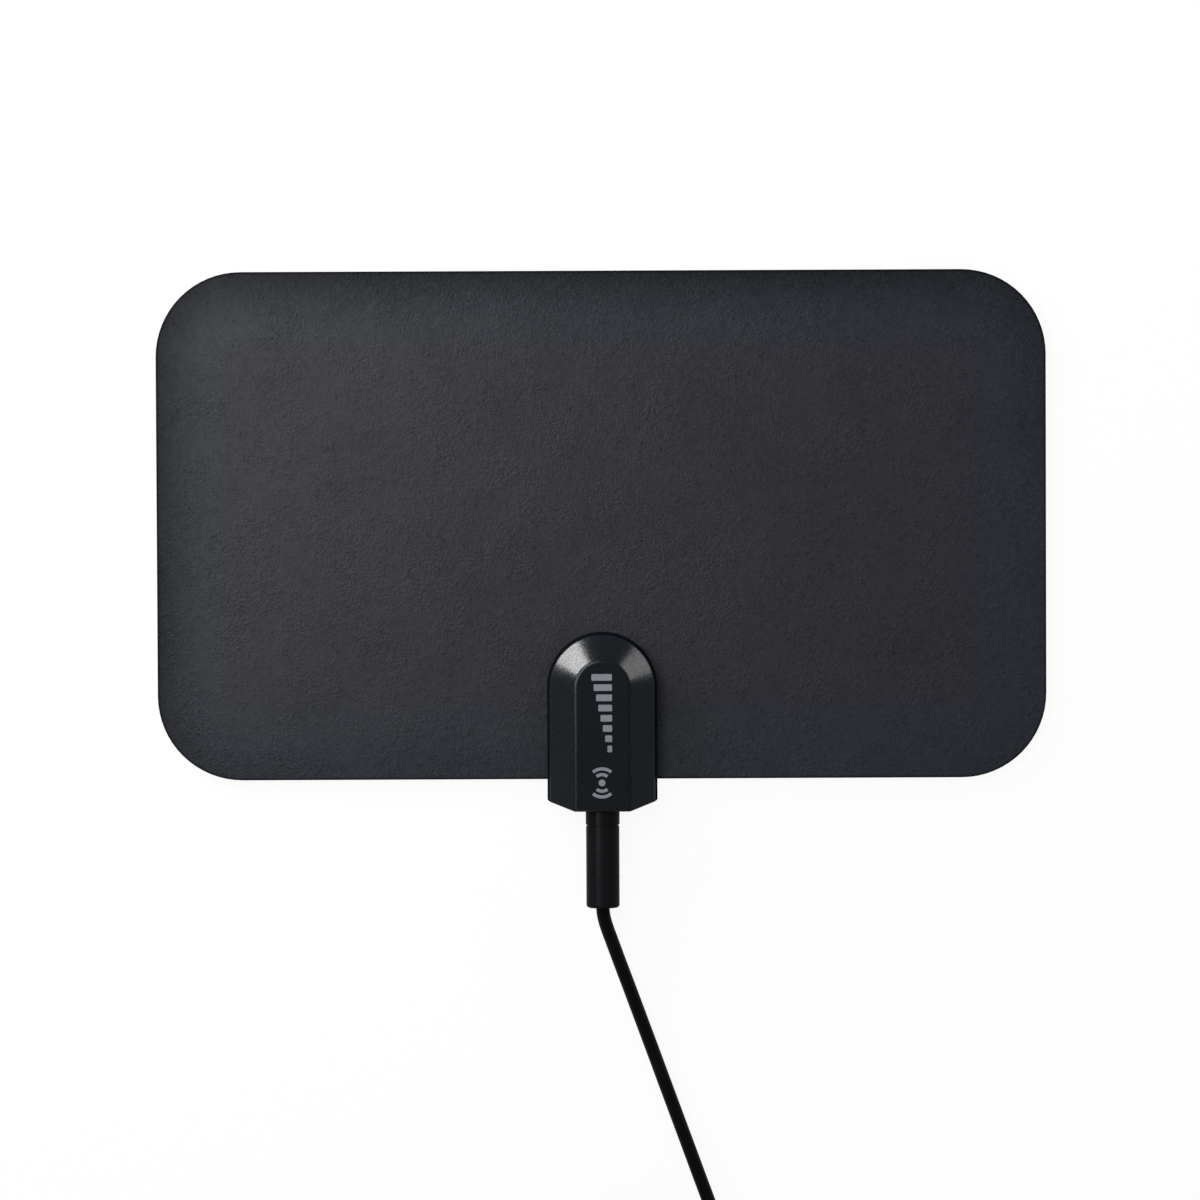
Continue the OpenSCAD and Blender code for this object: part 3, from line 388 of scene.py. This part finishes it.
# ---- Materials ----
class Shader:
    """A material's nodes, with short calls for those that are used here."""

    def __init__(self, name, **sockets):
        self.material = bpy.data.materials.new(name)
        self.material.use_nodes = True
        self.tree = self.material.node_tree
        self.surface = self.tree.nodes["Principled BSDF"]
        for socket, value in sockets.items():
            self.surface.inputs[socket.replace("_", " ")].default_value = value
        coordinates = self.node("TexCoord").outputs
        self.place, self.normal = coordinates["Object"], coordinates["Normal"]

    def node(self, kind, inputs=None, **settings):
        made = self.tree.nodes.new("ShaderNode" + kind)
        for name, value in settings.items():
            setattr(made, name, value)
        for name, value in (inputs or {}).items():
            if isinstance(value, bpy.types.NodeSocket):
                self.tree.links.new(value, made.inputs[name])
            else:
                made.inputs[name].default_value = value
        return made

    def math(self, operation, *values):
        return self.node("Math", dict(enumerate(values)), operation=operation).outputs[0]

    def parts(self, vector):
        return self.node("SeparateXYZ", {0: vector}).outputs

    def noise(self, size, detail=2.0, stretch=None):
        """Noise whose spots are about size millimetres wide."""
        place = self.place
        if stretch:
            place = self.node("Mapping", {"Vector": place, "Scale": stretch}).outputs[0]
        made = self.node("TexNoise", {"Vector": place, "Scale": 1 / (size * MM), "Detail": detail})
        return made.outputs["Fac"]

    def cells(self, size, smoothness=0.6):
        """Rounded cells about size millimetres wide, 0 in their middle."""
        inputs = {"Vector": self.place, "Scale": 1 / (size * MM), "Smoothness": smoothness}
        return self.node("TexVoronoi", inputs, feature="SMOOTH_F1").outputs["Distance"]

    def pits(self, size, radius, level):
        """A level in small round pits, else 1. Half of the cells of this size have a pit."""
        made = self.node("TexVoronoi", {"Vector": self.place, "Scale": 1 / (size * MM)}).outputs
        bare = self.math("GREATER_THAN", self.parts(made["Color"])[0], 0.5)
        return self.math("MAXIMUM", bare, self.span(made["Distance"], radius, 1.5 * radius, level))

    def span(self, value, low, high, to_low=0.0, to_high=1.0):
        """A value from low to high as one from to_low to to_high, and no further."""
        inputs = {"Value": value, "From Min": low, "From Max": high,
                  "To Min": to_low, "To Max": to_high}
        return self.node("MapRange", inputs, clamp=True).outputs[0]

    def vary(self, noise, low, high):
        """The middle range of a noise as a value from low to high."""
        return self.span(noise, 0.3, 0.7, low, high)

    def mix(self, share, low, high):
        made = self.node("Mix", data_type="RGBA")
        for socket, value in ((0, share), (6, low), (7, high)):
            if isinstance(value, bpy.types.NodeSocket):
                self.tree.links.new(value, made.inputs[socket])
            else:
                made.inputs[socket].default_value = value
        return made.outputs[2]

    def color(self, value):
        self.tree.links.new(value, self.surface.inputs["Base Color"])

    def specular(self, value):
        self.tree.links.new(value, self.surface.inputs["Specular IOR Level"])

    def roughness(self, value):
        self.tree.links.new(value, self.surface.inputs["Roughness"])

    def bump(self, height, depth, strength=1.0, before=None):
        """Relief whose height from 0 to 1 is depth millimetres, on top of the one before."""
        inputs = {"Height": height, "Distance": depth * MM, "Strength": strength}
        if before:
            inputs["Normal"] = before
        normal = self.node("Bump", inputs).outputs[0]
        self.tree.links.new(normal, self.surface.inputs["Normal"])
        return normal


def grey(level, tint=(1, 1, 1)):
    return (*(level * t for t in tint), 1)


SHEET_LEVEL = 0.0155
MIDDLE_TINT = (1.08, 0.94, 1.5)
MARGIN_TINT = (0.82, 1.1, 1.68)
# Distances from the outline: where the margin's painted shade starts, and where its tint starts and
# ends
DARK_MARGIN = 14
COOL_MARGIN = (30, 8)
# How deep the margin's painted shade is at the lower right and at the upper left
MARGIN_SHADE = (0.08, 0.55)
# The thin dark line along the cut edge
CUT_LINE = (0.2, 0.7)
CUT_LEVEL = 0.45


def panel_place(s):
    """x and y from the panel's middle, and the distance from its outline, in millimetres."""
    part = s.parts(s.place)
    x = s.math("MULTIPLY", part[0], 1 / MM)
    y = s.math("SUBTRACT", s.math("MULTIPLY", part[1], 1 / MM), PANEL_MIDDLE_Y)
    over_x = s.math("SUBTRACT", s.math("ABSOLUTE", x), PANEL.x / 2 - CORNER_R)
    over_y = s.math("SUBTRACT", s.math("ABSOLUTE", y), PANEL.y / 2 - CORNER_R)
    squares = [s.math("POWER", s.math("MAXIMUM", over, 0), 2) for over in (over_x, over_y)]
    out = s.math("SQRT", s.math("ADD", *squares))
    inside = s.math("MINIMUM", s.math("MAXIMUM", over_x, over_y), 0)
    return x, y, s.math("SUBTRACT", CORNER_R, s.math("ADD", out, inside))


def sheet_material():
    """Black sheet with a fine leathery grain, cooler in the margin round the foil, and darker there
    by painted shade that is deepest at the upper left.
    """
    s = Shader("sheet_plastic", Specular_IOR_Level=0.5)
    x, y, edge = panel_place(s)
    # The grain, which is stronger in some patches than in others
    fine = s.noise(0.4, detail=3)
    patch = s.span(s.noise(9), 0.35, 0.65, 0.45, 1.15)
    height = s.math("ADD", s.math("MULTIPLY", s.cells(0.75), 0.6), s.math("MULTIPLY", fine, 0.8))
    s.bump(s.math("MULTIPLY", height, patch), depth=0.11)
    # The darker margin: painted shade, deepest at the upper left, in the colour and in the specular
    # level
    lit = s.math("SUBTRACT", s.math("MULTIPLY", y, 2 / PANEL.y), s.math("MULTIPLY", x, 2 / PANEL.x))
    depth = s.span(lit, -0.9, 0.5, *MARGIN_SHADE)
    bare = s.math("POWER", s.span(edge, DARK_MARGIN, 0), 1.5)
    margin = s.math("SUBTRACT", 1, s.math("MULTIPLY", depth, bare))
    margin = s.math("MULTIPLY", margin, s.span(edge, *CUT_LINE, CUT_LEVEL, 1))
    # The mottle, from large clouds to pits
    blotch = s.math("MULTIPLY", s.vary(s.noise(1.6, detail=3), 0.9, 1.1),
                    s.vary(s.noise(22), 0.94, 1.06))
    speckle = s.math("MULTIPLY", s.math("SUBTRACT", fine, 0.5), patch)
    mottle = s.math("MULTIPLY", s.span(speckle, -0.2, 0.2, 0.84, 1.16), blotch)
    mottle = s.math("MULTIPLY", mottle, s.pits(1.5, 0.16, level=0.75))
    level = s.math("MULTIPLY", margin, mottle)
    cool = s.span(edge, *COOL_MARGIN)
    black = s.mix(cool, grey(SHEET_LEVEL, MIDDLE_TINT), grey(SHEET_LEVEL, MARGIN_TINT))
    s.color(s.mix(level, grey(0), black))
    s.specular(s.math("MULTIPLY", level, 0.5))
    s.roughness(s.vary(fine, 0.46, 0.56))
    return s.material


def moulded_material(name, level, tint, rough, grain=0.35, depth=0.02, specular=0.5, worn=1.15,
                     spread=0.055, waves=0.0, shaded_sides=None, side_specular=0.0):
    """Moulded plastic: a spark-eroded grain, with slightly uneven colour and gloss.

    waves is the depth of wider, shallow waves. The two shares of facing up or down for the sides
    set the specular level to side_specular under the first and to specular over the second. This
    paints shade on the sides by taking their reflections away.
    """
    s = Shader(name, Specular_IOR_Level=specular)
    fine = s.noise(grain, detail=3)
    flow = s.bump(s.noise(1.1), waves) if waves else None
    s.bump(fine, depth, strength=0.7, before=flow)
    s.color(s.mix(s.vary(s.noise(9), 0, 1), grey(level, tint), grey(level * worn, tint)))
    s.roughness(s.vary(fine, rough - spread, rough + spread))
    # Painted shade: faces that point sideways get a lower specular level, so they lose their
    # reflections and look darker
    if shaded_sides:
        facing = s.math("ABSOLUTE", s.parts(s.normal)[2])
        s.specular(s.span(facing, *shaded_sides, side_specular, specular))
    return s.material


def metal_material(name, color, rough, grain=0.5, stretch=None, depth=0.004):
    """Metal with fine marks from its making."""
    s = Shader(name, Metallic=1.0)
    marks = s.noise(grain, 3, stretch)
    s.bump(marks, depth, strength=0.5)
    darker = tuple(0.86 * c for c in color)
    s.color(s.mix(s.vary(marks, 0, 1), (*darker, 1), (*color, 1)))
    s.roughness(s.vary(marks, rough - 0.06, rough + 0.08))
    return s.material


WHITE = (1, 1, 1)
BLUISH = (0.75, 1.1, 1.65)
MATERIALS = {
    "sheet": sheet_material(),
    "shell": moulded_material("shell_plastic", 0.005, BLUISH, rough=0.24, depth=0.015,
                              spread=0.05, waves=0.016, shaded_sides=(0.2, 0.7)),
    "relief": moulded_material("relief_vinyl", 0.004, (0.9, 1.05, 1.3), rough=0.3, grain=0.6,
                               depth=0.012, specular=0.35, shaded_sides=(0.7, 0.97),
                               side_specular=0.06),
    "cord": moulded_material("cord_vinyl", 0.003, (0.9, 1.05, 1.2), rough=0.4, grain=0.5,
                             depth=0.04, specular=0.1),
    "tie": moulded_material("tie_vinyl", 0.012, WHITE, rough=0.5, grain=0.3),
    "ink": moulded_material("print_ink", 0.2, (0.93, 1, 1.12), rough=0.5, grain=0.3,
                            depth=0.01, specular=0.3, worn=1.12),
    "natural": moulded_material("natural_plastic", 0.72, (1, 0.99, 0.94), rough=0.4, grain=0.4,
                                depth=0.01, worn=1.06),
    "board": moulded_material("board", 0.09, (0.35, 1, 0.5), rough=0.4, grain=0.6,
                              depth=0.008, worn=1.3),
    "ferrite": moulded_material("ferrite", 0.04, (1, 1, 1.08), rough=0.55, grain=0.25),
    "foil": metal_material("foil", (0.82, 0.83, 0.84), rough=0.3, grain=0.8, stretch=(1, 8, 1)),
    "steel": metal_material("steel", (0.6, 0.6, 0.62), rough=0.32),
    "brass": metal_material("brass", (0.72, 0.55, 0.27), rough=0.28),
    "copper": metal_material("copper", (0.72, 0.4, 0.24), rough=0.3),
    "braid": metal_material("braid", (0.66, 0.62, 0.58), rough=0.4, grain=0.25, depth=0.05),
    "nickel": metal_material("nickel", (0.72, 0.7, 0.66), rough=0.24, grain=0.4,
                             stretch=(6, 1, 1)),
}
DRESS = {
    "front_sheet": "sheet", "rear_sheet": "sheet", "element_left": "foil", "element_right": "foil",
    "housing_front": "shell", "housing_rear": "shell", "cover_screws": "steel",
    "balun_board": "board", "feed_rivets": "brass", "ferrite_core": "ferrite",
    "balun_winding": "copper", "strain_relief": "relief", "cable_entry": "cord",
    "cable_insulation": "natural", "cable_conductor": "copper", "cable_braid": "braid",
    "coil_tie": "tie", "plug_grip": "relief", "plug_body": "nickel", "coupling_nut": "nickel",
    "plug_insulator": "natural", "plug_pin": "copper",
}


def dress(piece, material):
    piece.data.materials.clear()
    piece.data.materials.append(MATERIALS[material])


for node, material in DRESS.items():
    dress(nodes[node], material)
dress(lead, "cord")
dress(mark, "ink")
for piece in tie_pieces:
    dress(piece, "tie")


# ---- Floor, world and lamps ----
FLOOR_HALF_W = 3000
FLOOR_Z = -0.1
FLOOR_GREYS = (0.43, 0.47)
# What the camera and reflections see of the floor is partly this plain glow
GLOW = 1.14
GLOW_SEEN = 0.8
GLOW_MIRRORED = 0.2
DIFFUSE_SKY = 0.55
# [how far up, from the horizon at 0 to overhead at 1, and how bright it is there]
REFLECTED_SKY = ((0.03, 1.0), (0.13, 0.1), (0.8, 0.1))
LAMP_TARGET = Vector((0, -20, 10))
# name: azimuth from +X to +Y, elevation, distance from the target, size, radiance
LAMPS = {
    "low_left": (137, 16, 700, (440, 110), 23),
    "low_right": (30, 13, 480, (300, 68), 5.5),
    "key": (148, 58, 330, (283, 141), 3.1),
}


def floor_material():
    """A pale floor that takes the object's shadow, and that the camera sees as nearly white."""
    s = Shader("floor", Roughness=0.9, Specular_IOR_Level=0.0)
    low, high = FLOOR_GREYS
    s.color(s.mix(s.noise(3), grey(low), grey(high)))
    glow = s.node("Emission", {"Color": grey(1), "Strength": GLOW})
    path = s.node("LightPath").outputs
    mirrored = s.math("MAXIMUM", path["Is Glossy Ray"], path["Is Transmission Ray"])
    share = s.math("ADD", s.math("MULTIPLY", path["Is Camera Ray"], GLOW_SEEN),
                   s.math("MULTIPLY", mirrored, GLOW_MIRRORED))
    mixed = s.node("MixShader", {0: share, 1: s.surface.outputs[0], 2: glow.outputs[0]})
    s.tree.links.new(mixed.outputs[0], s.tree.nodes["Material Output"].inputs["Surface"])
    return s.material


def make_floor():
    half = FLOOR_HALF_W * MM
    mesh = bpy.data.meshes.new("floor")
    corners = [(-half, -half, 0), (half, -half, 0), (half, half, 0), (-half, half, 0)]
    mesh.from_pydata(corners, [], [(0, 1, 2, 3)])
    mesh.materials.append(floor_material())
    floor = bpy.data.objects.new("floor", mesh)
    floor.location.z = FLOOR_Z * MM
    scene.collection.objects.link(floor)


def make_world():
    """White for the camera. Reflections see it white at the horizon and dim overhead."""
    world = bpy.data.worlds.new("studio")
    world.use_nodes = True
    scene.world = world
    tree = world.node_tree

    def node(kind, *links):
        made = tree.nodes.new("ShaderNode" + kind)
        for source, target in links:
            tree.links.new(source, made.inputs[target])
        return made

    path = node("LightPath").outputs
    height = node("SeparateXYZ", (node("TexCoord").outputs["Generated"], 0)).outputs[2]
    ramp = node("ValToRGB", (height, 0))
    stops = ramp.color_ramp.elements
    stops.new(0.5)
    for i, (position, level) in enumerate(REFLECTED_SKY):
        stops[i].position = position
        stops[i].color = grey(level)
    level = grey(DIFFUSE_SKY)
    for seen, color in (("Is Glossy Ray", ramp.outputs[0]), ("Is Camera Ray", grey(1))):
        mix = node("Mix")
        mix.data_type = "RGBA"
        tree.links.new(path[seen], mix.inputs[0])
        for socket, value in ((6, level), (7, color)):
            if isinstance(value, tuple):
                mix.inputs[socket].default_value = value
            else:
                tree.links.new(value, mix.inputs[socket])
        level = mix.outputs[2]
    tree.links.new(level, tree.nodes["Background"].inputs["Color"])


def make_lamp(name, azimuth, elevation, distance, size, radiance):
    """A soft rectangular lamp that faces the housing."""
    data = bpy.data.lights.new(name, "AREA")
    data.shape = "RECTANGLE"
    data.size, data.size_y = (s * MM for s in size)
    data.energy = radiance * math.pi * data.size * data.size_y
    lamp = bpy.data.objects.new(name, data)
    a, e = math.radians(azimuth), math.radians(elevation)
    way = Vector((math.cos(a) * math.cos(e), math.sin(a) * math.cos(e), math.sin(e)))
    lamp.location = (LAMP_TARGET + distance * way) * MM
    lamp.rotation_euler = way.to_track_quat("Z", "Y").to_euler()
    scene.collection.objects.link(lamp)


make_floor()
make_world()
for name, lamp in LAMPS.items():
    make_lamp(name, *lamp)

scene.view_settings.view_transform = "Standard"
